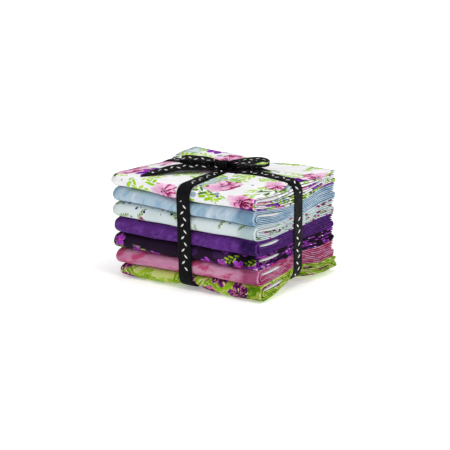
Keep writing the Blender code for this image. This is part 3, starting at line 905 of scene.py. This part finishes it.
# %% The seven designs
Design = namedtuple("Design", "sheen ground layers")
DESIGNS = {
    "fat_quarter_1_white_floral": Design(0.03, "E8E7E9", (
        Cloud(0.012, 1.0, STILL, (("Broad", 0.0, 1.0, 0.0, 1.0, "F0EFF0"),)),
        Bloom(0.062, 3.1, 0.0200, 4.0, 0.30, 0.62, 0.50, 0.90, "CADAD9",
              (("Streak", 0.42, 0.50, 0.0, 1.0, "A3BAC0"),
               ("Streak", 0.56, 0.60, 0.0, 1.0, "7F9AA4")), ""),
        Leafing(0.0250, 7.7, 0.0115, 0.0070, 0.0098, 0.00195, 0.88, "A9D424", "84B80E"),
        Leafing(0.0210, 3.9, 0.0085, 0.0054, 0.0072, 0.00135, 0.60, "BFDC4A", "9AC822"),
        Leafing(0.0310, 2.4, 0.0120, 0.0084, 0.0112, 0.00140, 0.65, "5F8E30", "345C1E"),
        Bloom(0.041, 5.3, 0.0138, 5.0, 0.30, 0.80, 0.40, 0.95, "D98CBD",
              (("Rim", 0.15, 1.0, 0.0, 1.0, "EBC3DB"),
               ("Streak", 0.30, 0.44, 0.6, 0.0, "F4DCEA"),
               ("Gathered", 0.565, 0.60, 0.0, 1.0, "C2127C"),
               ("Gathered", 0.635, 0.66, 0.0, 1.0, "8C0A5C")), "stamens"),
        Bloom(0.045, 9.6, 0.0098, 7.0, 0.50, 0.65, 0.40, 1.0, "B033BC",
              (("Streak", 0.40, 0.52, 0.0, 1.0, "7A1696"),
               ("Streak", 0.57, 0.62, 0.0, 1.0, "34209C")), ""),
        Dots(0.0210, 6.6, 0.0024, 0.24, 0.85, "7D97A6"),
        Dots(0.0105, 4.2, 0.0012, 0.20, 1.0, "4A2FA0"))),
    "fat_quarter_2_blue_mottled": Design(0.03, "A0BACC", (
        Cloud(0.030, 0.8, STILL, (("Broad", 0.0, 1.0, 0.0, 1.0, "BCCCD9"),
                                  ("Fine", 0.0, 1.0, 0.0, 0.45, "9DB7C9"))),
        Cloud(0.020, 0.45, (0.31, 0.17, 0.0), (("Broad", 0.62, 0.82, 0.0, 0.75, "86A9C2"),
                                               ("Broad", 0.05, 0.28, 0.6, 0.0, "D0DAE2"))))),
    "fat_quarter_3_mint_sprig": Design(0.03, "C9D6D8", (
        Cloud(0.025, 1.0, STILL, (("Broad", 0.0, 1.0, 0.0, 1.0, "D6E0E0"),)),
        Leafing(0.0260, 2.0, 0.0105, 0.0030, 0.0038, 0.00080, 0.85, "A3BE3E", "2E5A22"),
        Leafing(0.0240, 2.9, 0.0085, 0.0026, 0.0032, 0.00065, 0.70, "B8CE52", "55802C"),
        Cluster(0.0260, 2.0, 0.0095, 0.85),
        Bloom(0.0088, 5.0, 0.0026, 4.0, 0.30, 0.42, 0.50, 1.0, "C0307F",
              (("Streak", 0.42, 0.52, 0.0, 1.0, "8A1458"),), ""),
        Dots(0.0052, 8.8, 0.00115, 0.34, 1.0, "2A1B6B"))),
    "fat_quarter_4_purple_mottled": Design(0.04, "3C1259", (
        Cloud(0.014, 1.0, STILL, (("Broad", 0.0, 1.0, 0.0, 1.0, "56247A"),
                                  ("Fine", 0.0, 1.0, 0.0, 0.6, "66358A"))),
        Cloud(0.005, 1.0, (0.13, 0.29, 0.0), (("Broad", 0.5, 1.0, 0.0, 0.45, "7846A0"),)))),
    "fat_quarter_5_dark_floral": Design(0.02, "180A1D", (
        Cloud(0.020, 1.0, STILL, (("Broad", 0.0, 1.0, 0.0, 1.0, "24122B"),)),
        Bloom(0.037, 3.3, 0.0110, 6.0, 0.35, 0.60, 0.40, 1.0, "3A1C48", (), ""),
        Leafing(0.0230, 6.1, 0.0080, 0.0044, 0.0066, 0.00095, 0.42, "A9BC3C", "566E22"),
        Leafing(0.0190, 4.4, 0.0070, 0.0036, 0.0048, 0.00070, 0.45, "6F8A3A", "344C22"),
        Bloom(0.048, 1.4, 0.0115, 6.0, 0.30, 0.62, 0.25, 1.0, "A23AB2",
              (("Streak", 0.42, 0.52, 0.0, 1.0, "77249A"),
               ("Streak", 0.58, 0.60, 0.0, 1.0, "EAD6DE"),
               ("Rim", 0.20, 0.36, 1.0, 0.0, "2A2277")), ""),
        Bloom(0.0172, 4.9, 0.0068, 5.0, 0.55, 0.82, 0.10, 1.0, "8A2E9E",
              (("Rim", 0.2, 1.0, 0.0, 1.0, "AE4CC0"),
               ("Streak", 0.52, 0.62, 0.0, 1.0, "6E2286")), "pink"))),
    "fat_quarter_6_pink_mottled": Design(0.04, "B66A92", (
        Cloud(0.018, 2.2, STILL, (("Broad", 0.0, 1.0, 0.0, 1.0, "C88CAB"),
                                  ("Fine", 0.0, 1.0, 0.0, 0.30, "D9ABC0"))),
        Cloud(0.013, 1.8, (0.23, 0.41, 0.0), (("Broad", 0.44, 0.70, 0.0, 0.90, "B23A66"),)),
        Cloud(0.007, 2.4, (0.61, 0.07, 0.0), (("Broad", 0.62, 0.86, 0.0, 0.55, "B9547C"),)))),
    "fat_quarter_7_lime_leafy": Design(0.03, "D2D6A2", (
        Cloud(0.016, 1.6, STILL, (("Broad", 0.0, 1.0, 0.0, 1.0, "BFC766"),
                                  ("Fine", 0.0, 1.0, 0.0, 0.5, "AFC04E"))),
        Leafing(0.0170, 1.9, 0.0100, 0.0036, 0.0080, 0.00140, 1.00, "A6C43A", "86AE18"),
        Leafing(0.0190, 5.5, 0.0110, 0.0042, 0.0090, 0.00150, 0.95, "9ABD22", "76A016"),
        Leafing(0.0230, 8.3, 0.0120, 0.0050, 0.0100, 0.00090, 0.80, "7C9A2C", "55761A"),
        Bloom(0.031, 7.2, 0.0100, 5.0, 0.35, 0.80, 0.50, 1.0, "330D30",
              (("Rim", 0.55, 0.9, 0.0, 1.0, "7E1276"),
               ("Streak", 0.56, 0.60, 0.0, 1.0, "C46A94"),
               ("Streak", 0.30, 0.33, 1.0, 0.0, "D9CBA0")), ""))),
}
print("layers in each design:", [len(design.layers) for design in DESIGNS.values()])

# %% [markdown]
# Every cotton shares one recipe: the printed colour, the white selvage, painted shade that
# darkens the colour deep inside the folds, a faint thread tone, a weave bump with a few soft
# creases, and a dry surface with a little sheen.

# %% Cotton material
SELVAGE_WHITE = light("C8C9CC")
PAINTED_SHADE_DEPTH = 0.85
WEAVE_DEPTH = 0.00005
CREASE_DEPTH = 0.00035


def make_cotton(name, design):
    material, shader, coords = new_material(name, Roughness=0.86, Specular_IOR_Level=0.10,
                                            Sheen_Weight=design.sheen, Sheen_Roughness=0.45)
    printed = print_design(coords, design.ground, design.layers)
    selvage, shelter = (Wire(add_node(coords, "Attribute", attribute_name=mark).outputs["Fac"])
                        for mark in ("selvage", "shelter"))
    printed = mix(selvage, printed, SELVAGE_WHITE)
    # Painted shade: the print multiplied by itself is mixed in where the fold-shade attribute is
    # set, so the gaps between the ridges read darker.
    painted_shade_colour = mix(1.0, printed, printed, "MULTIPLY")
    printed = mix(shelter * PAINTED_SHADE_DEPTH, printed, painted_shade_colour)
    weave = use_group(WEAVE, coords)
    plug(mix(1.0, printed, grey(weave["Tone"]), "MULTIPLY"), shader.inputs["Base Color"])
    creases = bump(noise(coords, 0.009, 3.0), 0.35, CREASE_DEPTH)
    plug(bump(weave["Height"], 0.5, WEAVE_DEPTH, creases), shader.inputs["Normal"])
    return material


# %% [markdown]
# The stack is built from the bottom up. Each sheet rests on the one below it, and the lowest on
# the ribbon that passes under the bundle.


def dress(piece, node, material):
    """Give a piece its finish, hang it on the root body, and hide the solid it stands for."""
    piece.data.materials.append(material)
    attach(piece, "root")
    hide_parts(node)


for level, quarter in enumerate(FAT_QUARTERS):
    cloth, flat_length, flat_width = fold_sheet(level)
    cotton = make_cotton(quarter.name + "_cotton", DESIGNS[quarter.name])
    dress(cloth, quarter.name, cotton)
    print(cloth.name, "unfolds to", round(flat_width, 3), "by", round(flat_length, 3), "m")

# %% [markdown]
# The ribbon is a half-inch black twill tape. Its fine slanting ribs show in the sheen.
# A row of small white leaves runs down its middle, in groups with bare tape between them.
# The leaves are a plain woven pattern, drawn from the ribbon's own flat coordinates.

# %% Ribbon material
RIB = 0.00055
RIB_DEPTH = 0.00008
EDGE_START = 0.0054
EDGE_END = 0.0060
LEAF_PITCH = 0.0052
LEAF_LONG = 0.0021
LEAF_WIDE = 0.00065
LEAF_OFFSET = 0.0012
LEAF_GROUP = 0.078
LEAF_GROUP_SHARE = 0.76
SLANT_SHARE = 0.7071


def make_ribbon_material():
    material, shader, coords = new_material("black_ribbon_twill", Specular_IOR_Level=0.06,
                                            Sheen_Weight=0.0)
    side, run = parts_of(coords)[:2]
    ribs = maths("SINE", (side + run) * (math.tau / RIB))
    picks = maths("SINE", run * (math.tau / (0.6 * RIB)))
    height = ribs + picks * 0.4
    worn = noise(coords, 0.006, 3.0)
    black = mix(worn, light("070708"), light("0D0D10"))
    black = mix(height.spread(0.2, 1.4, 0.0, 0.5), black, light("16161A"))
    black = mix(abs(side).spread(EDGE_START, EDGE_END) * 0.5, black, light("040405"))
    number = maths("FLOOR", run / LEAF_PITCH)
    in_leaf = run - (number + 0.5) * LEAF_PITCH
    turned = (number % 2.0) * 2.0 - 1.0
    across_leaf = (side + turned * LEAF_OFFSET) * turned
    part = (in_leaf + across_leaf) * SLANT_SHARE / LEAF_LONG
    wide_way = (in_leaf - across_leaf) * SLANT_SHARE
    leaf = inside((1.0 - part * part) * LEAF_WIDE, abs(wide_way))
    leaf = leaf * (maths("FRACT", run / LEAF_GROUP) < LEAF_GROUP_SHARE)
    plug(mix(leaf, black, light("E9E9E6")), shader.inputs["Base Color"])
    plug(worn.spread(0.3, 0.7, 0.42, 0.58), shader.inputs["Roughness"])
    plug(bump(height, 0.5, RIB_DEPTH), shader.inputs["Normal"])
    return material


ribbon_material = make_ribbon_material()

# %% [markdown]
# Each band is a closed loop of ribbon pulled tight round the stack: over the top, round a soft
# corner, down the end, and back under. The route is laid with rounded quarter turns and then
# evened out, so that the ribbon has a point every millimetre and a half.

# %% Routes of the two bands
TAPE = 0.00040
LIFT = 0.00052
OVER_STEP = 0.00062
END_OFFSET = 0.00095
TURN_START = 0.009
LOW_FRONT_TURN_START = 0.013
END_TURN_TOP_LEFT = 0.0752
END_TURN_TOP_RIGHT = 0.0785
END_TURN_BASE = 0.0170
SIDE_TURN_TOP = 0.0795
SIDE_TURN_BASE = 0.0118
TURN_STEPS = 12
LEVEL_POINTS = 70
UPRIGHT_POINTS = 24
ROUTE_STEP = 0.0015
EVENING_PASSES = 3


def quarter_turn(start, end, leaves_level):
    """Points of a quarter ellipse from start to end, first level or first upright."""
    angle = np.linspace(0.0, math.pi / 2, TURN_STEPS + 1)[1:-1]
    rising, falling = np.sin(angle), 1.0 - np.cos(angle)
    shares = (rising, falling) if leaves_level else (falling, rising)
    return [(start[0] + (end[0] - start[0]) * a, start[1] + (end[1] - start[1]) * b)
            for a, b in zip(*shares)]


def straight(start, end):
    share = np.linspace(0.0, 1.0, UPRIGHT_POINTS)
    return [(start[0] + (end[0] - start[0]) * s, start[1] + (end[1] - start[1]) * s) for s in share]


def closed_route(top, far_side, base, near_side):
    """A rounded loop through the four faces, evened out to steps of the same length."""
    route = top + quarter_turn(top[-1], far_side[0], True) + straight(*far_side)
    route += quarter_turn(far_side[1], base[0], False) + base
    route += quarter_turn(base[-1], near_side[0], True) + straight(*near_side)
    route += quarter_turn(near_side[1], top[0], False)
    points = np.array(route + [route[0]])
    length = path_lengths(points)
    count = round(length[-1] / ROUTE_STEP)
    even = np.linspace(0.0, length[-1], count + 1)[:-1]
    points = np.stack([np.interp(even, length, points[:, axis]) for axis in (0, 1)], axis=-1)
    for _ in range(EVENING_PASSES):
        points = 0.25 * np.roll(points, 1, 0) + 0.5 * points + 0.25 * np.roll(points, -1, 0)
    return points


def over_crossing(value, centre):
    band = RIBBON_WIDTH / 2
    return 1.0 - soft_ramp(np.abs(value - centre), band, band + LOCAL_FADE, FINE_KNEE)


def lengthwise_route():
    x = np.linspace(-(END_PLANE - TURN_START), END_PLANE - TURN_START, LEVEL_POINTS)
    top = seam_height(TOP_LEVEL, x, RIBBON_Y) + LIFT
    base = seam_height(0, x, RIBBON_Y) - LIFT
    face = END_PLANE + END_OFFSET
    return closed_route(list(zip(x, top)), ((face, END_TURN_TOP_RIGHT), (face, END_TURN_BASE)),
                        list(zip(x[::-1], base[::-1])),
                        ((-face, END_TURN_BASE), (-face, END_TURN_TOP_LEFT)))


def crosswise_route():
    edge_back = BACK_PLANE - TURN_START
    y = np.linspace(front_plane(STACK_HEIGHT) + TURN_START, edge_back, LEVEL_POINTS)
    top = seam_height(TOP_LEVEL, RIBBON_X, y) + LIFT + OVER_STEP * over_crossing(y, RIBBON_Y)
    low_y = np.linspace(edge_back, front_plane(STACK_HEIGHT) + LOW_FRONT_TURN_START, LEVEL_POINTS)
    base = seam_height(0, RIBBON_X, low_y) - LIFT - OVER_STEP * over_crossing(low_y, RIBBON_Y)
    back_face = BACK_PLANE + END_OFFSET
    front_low = (front_plane(SIDE_TURN_BASE) - END_OFFSET, SIDE_TURN_BASE)
    front_high = (front_plane(SIDE_TURN_TOP) - END_OFFSET, SIDE_TURN_TOP)
    back_side = ((back_face, SIDE_TURN_TOP), (back_face, SIDE_TURN_BASE))
    return closed_route(list(zip(y, top)), back_side, list(zip(low_y, base)),
                        (front_low, front_high))


# %% [markdown]
# A band's section is nearly flat: its edges turn down a touch where it presses into the cloth.

# %% The two bands
BAND_COLUMNS = 13
CROWN = 0.00022


def band_piece(name, route, lengthwise):
    """A closed band along a route in a vertical plane."""
    offsets = np.linspace(-RIBBON_WIDTH / 2, RIBBON_WIDTH / 2, BAND_COLUMNS)
    middle = route.mean(axis=0)
    tangent = np.roll(route, -1, 0) - np.roll(route, 1, 0)
    tangent /= np.linalg.norm(tangent, axis=1)[:, None]
    outward = np.stack([-tangent[:, 1], tangent[:, 0]], axis=-1)
    outward *= np.sign(((route - middle) * outward).sum(axis=1))[:, None]
    dip = CROWN * (2.0 * offsets / RIBBON_WIDTH) ** 4
    in_plane = route[:, None, :] - outward[:, None, :] * dip[None, :, None]
    sideways = np.broadcast_to(offsets[None, :], in_plane.shape[:2])
    if lengthwise:
        middle_y = RIBBON_Y + slip_back(in_plane[..., 0])
        points = np.stack([in_plane[..., 0], middle_y + sideways, in_plane[..., 1]], axis=-1)
    else:
        here = crest_swell(RIBBON_X + sideways, in_plane[..., 0])
        tilt = here - crest_swell(RIBBON_X, in_plane[..., 0])
        z = in_plane[..., 1]
        z = z + tilt * soft_ramp(z, SIDE_TURN_BASE, SIDE_TURN_TOP)
        points = np.stack([RIBBON_X + sideways, in_plane[..., 0], z], axis=-1)
    run = path_lengths(route)
    flat = np.stack(np.broadcast_arrays(sideways, run[:, None]), axis=-1)
    piece = add_piece(grid_mesh(name + "_tape", points, flat, closed=True), TAPE)
    dress(piece, name, ribbon_material)
    return piece


band_piece("ribbon_lengthwise", lengthwise_route(), True)
crosswise = band_piece("ribbon_crosswise", crosswise_route(), False)

# %% [markdown]
# The bow has two loops and two tails. Each strand leaves the knot at a heading in plan, and its
# curve is given as distance from the knot and height above the stack, in millimetres.
# The ribbon narrows into small pleats where the knot gathers it, and opens flat beyond.

# %% Strands of the bow
MILLIMETRE = 0.001
NECK_START = 0.0052
NECK_WIDTH = 0.0076
NECK_LENGTH = 0.010
NECK_KNEE = 0.002
PLEAT_DEPTH = 0.00045
STRAND_CROWN = 0.00035
STRAND_STEPS = 8
STRAND_COLUMNS = 17
Strand = namedtuple("Strand", "name heading lean end_lean slant held points")
STRANDS = (
    Strand("bow_loop_left", 205.0, 0.12, 0.10, 0.0, "folded",
           ((4.2, 6.1), (12, 6.8), (22, 7.3), (31, 7.7), (35.4, 8.8),
            (31.5, 9.9), (22, 9.6), (12, 8.9), (4.2, 7.8))),
    Strand("bow_loop_right", 31.0, 0.10, 0.0, 0.0, "folded",
           ((4.2, 5.8), (14, 6.0), (22, 5.3), (28, 5.1), (33.5, 5.3), (37.0, 7.1),
            (34.5, 9.5), (28, 10.5), (22, 10.1), (14, 9.1), (4.2, 7.8))),
    Strand("bow_tail_left", 226.0, 0.24, 0.14, 0.0055, "laid",
           ((4.2, 3.8), (12, 4.8), (22, 5.4), (33, 5.6), (44, 4.7), (55, 2.9), (65, 1.7))),
    Strand("bow_tail_right", 30.0, 0.0, 0.0, -0.0050, "laid",
           ((4.2, 3.8), (12, 3.4), (22, 3.2), (33, 2.6))),
)


def smooth_curve(points, steps):
    """A Catmull-Rom curve through the points, steps to a span."""
    ends = np.vstack([2 * points[0] - points[1], points, 2 * points[-1] - points[-2]])
    share = np.arange(steps)[:, None] / steps
    spans = []
    for index in range(1, len(ends) - 2):
        before, start, end, after = ends[index - 1:index + 3]
        spans.append(0.5 * (2 * start + (end - before) * share
                            + (2 * before - 5 * start + 4 * end - after) * share ** 2
                            + (3 * start - before - 3 * end + after) * share ** 3))
    return np.vstack([*spans, points[-1:]])


def strand_piece(strand):
    heading = math.radians(strand.heading)
    forward = np.array([math.cos(heading), math.sin(heading), 0.0])
    profile = smooth_curve(np.array(strand.points) * MILLIMETRE, STRAND_STEPS)
    lean = np.linspace(strand.lean, strand.end_lean, len(profile))
    level_side = np.array([-forward[1], forward[0], 0.0])
    side = level_side[None, :] - lean[:, None] * np.array([[0.0, 0.0, 1.0]])
    side /= np.linalg.norm(side, axis=1)[:, None]
    centres = profile[:, :1] * forward + np.array([0.0, 0.0, STACK_HEIGHT])
    centres[:, 2] += profile[:, 1]
    opened = soft_ramp(profile[:, 0], NECK_START, NECK_START + NECK_LENGTH, NECK_KNEE)
    half = (NECK_WIDTH + (RIBBON_WIDTH - NECK_WIDTH) * opened) / 2
    slope = np.gradient(profile, axis=0)
    slope /= np.linalg.norm(slope, axis=1)[:, None]
    normal = -slope[:, 1:] * forward + np.array([[0.0, 0.0, 1.0]]) * slope[:, :1]
    offsets = np.linspace(-1.0, 1.0, STRAND_COLUMNS)
    pleats = PLEAT_DEPTH * np.cos(offsets * 2.5 * math.pi)
    crown = -STRAND_CROWN * offsets ** 2
    lift = pleats[None, :] * (1.0 - opened)[:, None] + crown[None, :] * opened[:, None]
    last = len(profile) - 1
    cut = np.clip((np.arange(last + 1) - (last - 2 * STRAND_STEPS)) / (2 * STRAND_STEPS), 0.0, 1.0)
    slanted = strand.slant * cut
    points = centres[:, None, :] + half[:, None, None] * offsets[None, :, None] * side[:, None, :]
    points = points + normal[:, None, :] * lift[..., None]
    points = points + slanted[:, None, None] * offsets[None, :, None] * forward
    run = path_lengths(centres)
    width_way = np.broadcast_to(offsets[None, :] * RIBBON_WIDTH / 2, points.shape[:2])
    flat = np.stack(np.broadcast_arrays(width_way, run[:, None]), axis=-1)
    piece = add_piece(grid_mesh(strand.name + "_tape", points, flat), TAPE)
    dress(piece, strand.name, ribbon_material)
    print(strand.name, "is", round(run[-1] * 1000), "mm long")


for strand in STRANDS:
    strand_piece(strand)

# %% [markdown]
# The knot is the ribbon itself wrapped once round the middle of the bow. It is gathered into
# pleats, drawn in at its edges, and a little skew, because a hand pulled it tight.

# %% The knot
BOW_HEADING = math.radians(28.0)
KNOT_HALF_LENGTH = 0.0040
KNOT_HALF_WIDTH = 0.0041
KNOT_BASE = STACK_HEIGHT + 0.0014
KNOT_TOP = STACK_HEIGHT + 0.0086
KNOT_STEPS = 48
KNOT_COLUMNS = 19
KNOT_PLEAT = 0.00042
KNOT_SKEW = 0.0011
KNOT_SQUARENESS = 0.7
KNOT_RUN_START = 0.0603


def knot_piece():
    angle = np.linspace(0.0, math.tau, KNOT_STEPS + 1)[:-1][:, None]
    offsets = np.linspace(-1.0, 1.0, KNOT_COLUMNS)[None, :]
    waves = np.cos(offsets * 3.0 * math.pi + 1.6 * np.sin(angle))
    swell = 1.0 - 0.10 * offsets ** 2
    push = KNOT_PLEAT * waves
    ring_x = np.sign(np.cos(angle)) * np.abs(np.cos(angle)) ** KNOT_SQUARENESS
    ring_z = np.sign(np.sin(angle)) * np.abs(np.sin(angle)) ** KNOT_SQUARENESS
    half_height = (KNOT_TOP - KNOT_BASE) / 2
    wide = (KNOT_HALF_WIDTH * swell + push) * ring_x
    high = (half_height * swell + push) * ring_z + (KNOT_TOP + KNOT_BASE) / 2
    reach = KNOT_HALF_LENGTH * (0.86 + 0.14 * np.abs(ring_z)) * offsets + KNOT_SKEW * np.cos(angle)
    forward = np.array([math.cos(BOW_HEADING), math.sin(BOW_HEADING), 0.0])
    side = np.array([-forward[1], forward[0], 0.0])
    up = np.array([0.0, 0.0, 1.0])
    points = reach[..., None] * forward + wide[..., None] * side + high[..., None] * up
    ring = path_lengths(points[:, KNOT_COLUMNS // 2])
    flat = np.stack(np.broadcast_arrays(offsets * RIBBON_WIDTH / 2,
                                        ring[:, None] + KNOT_RUN_START), axis=-1)
    piece = add_piece(grid_mesh("bow_knot_tape", points, flat, closed=True), TAPE)
    dress(piece, "bow_knot", ribbon_material)
    print("the knot is", round(ring[-1] * 1000), "mm round")


knot_piece()

# %% [markdown]
# The bundle stands on a plain white floor in soft studio light: a broad softbox overhead, a
# second one in front and to the left, a weaker one on the right, and a pale room around them.
# The floor glows a little more with distance, as a lit paper backdrop does, so it stays white.

# %% Floor
FLOOR_HALF = 6.0
GLOW_NEAR = 0.28
GLOW_FAR = 0.80
GLOW_START = 0.22
GLOW_END = 0.75


def add_floor():
    corners = [(-FLOOR_HALF, -FLOOR_HALF, 0.0), (FLOOR_HALF, -FLOOR_HALF, 0.0),
               (FLOOR_HALF, FLOOR_HALF, 0.0), (-FLOOR_HALF, FLOOR_HALF, 0.0)]
    mesh = bpy.data.meshes.new("floor")
    mesh.from_pydata(corners, [], [(0, 1, 2, 3)])
    floor = bpy.data.objects.new("floor", mesh)
    bpy.context.scene.collection.objects.link(floor)
    material, shader, coords = new_material(
        "white_paper_floor", Base_Color=(0.95, 0.95, 0.95, 1.0), Roughness=0.9,
        Specular_IOR_Level=0.05, Emission_Strength=1.0)
    place = Wire(add_node(coords, "TexCoord").outputs["Object"])
    glow = vectors("LENGTH", place).spread(GLOW_START, GLOW_END, GLOW_NEAR, GLOW_FAR)
    plug(grey(glow), shader.inputs["Emission Color"])
    mesh.materials.append(material)


add_floor()

# %% Lights
def add_area_light(name, place, size, watts):
    data = bpy.data.lights.new(name, "AREA")
    data.size = size
    data.energy = watts
    lamp = bpy.data.objects.new(name, data)
    lamp.location = place
    aim = Vector((0.0, 0.0, 0.05)) - Vector(place)
    lamp.rotation_mode = "QUATERNION"
    lamp.rotation_quaternion = aim.to_track_quat("-Z", "Y")
    bpy.context.scene.collection.objects.link(lamp)


add_area_light("soft_top", (0.05, 0.00, 1.30), 1.0, 9.0)
add_area_light("soft_key", (-0.45, -1.20, 0.80), 0.8, 3.0)
add_area_light("soft_fill", (1.20, -0.20, 0.70), 0.7, 9.0)
world = bpy.data.worlds.new("pale_room")
world.use_nodes = True
world.node_tree.nodes["Background"].inputs[0].default_value = (1.0, 1.0, 1.0, 1.0)
world.node_tree.nodes["Background"].inputs[1].default_value = 0.30
bpy.context.scene.world = world
bpy.context.scene.view_settings.view_transform = "Standard"

# %% [markdown]
# The camera stands where the picture was taken from: a long lens, about fifteen degrees above
# the table, turned a third of a right angle to the right of the front face.

# %% Camera
AZIMUTH = math.radians(33.543)
ELEVATION = math.radians(15.166)
DISTANCE = 1.6554
RIGHTWARD = 0.00087
UPWARD = 0.04041
back = Vector((math.sin(AZIMUTH) * math.cos(ELEVATION), -math.cos(AZIMUTH) * math.cos(ELEVATION),
               math.sin(ELEVATION)))
right = Vector((math.cos(AZIMUTH), math.sin(AZIMUTH), 0.0))
up = back.cross(right)
camera_data = bpy.data.cameras.new("camera")
camera_data.lens = 160.0
camera_data.sensor_width = 36.0
camera_data.clip_start = 0.05
camera_data.clip_end = 50.0
camera = bpy.data.objects.new("camera", camera_data)
camera.location = back * DISTANCE + right * RIGHTWARD + up * UPWARD + SHIFT
camera.rotation_mode = "QUATERNION"
camera.rotation_quaternion = (-back).to_track_quat("-Z", "Y")
bpy.context.scene.collection.objects.link(camera)
bpy.context.scene.camera = camera
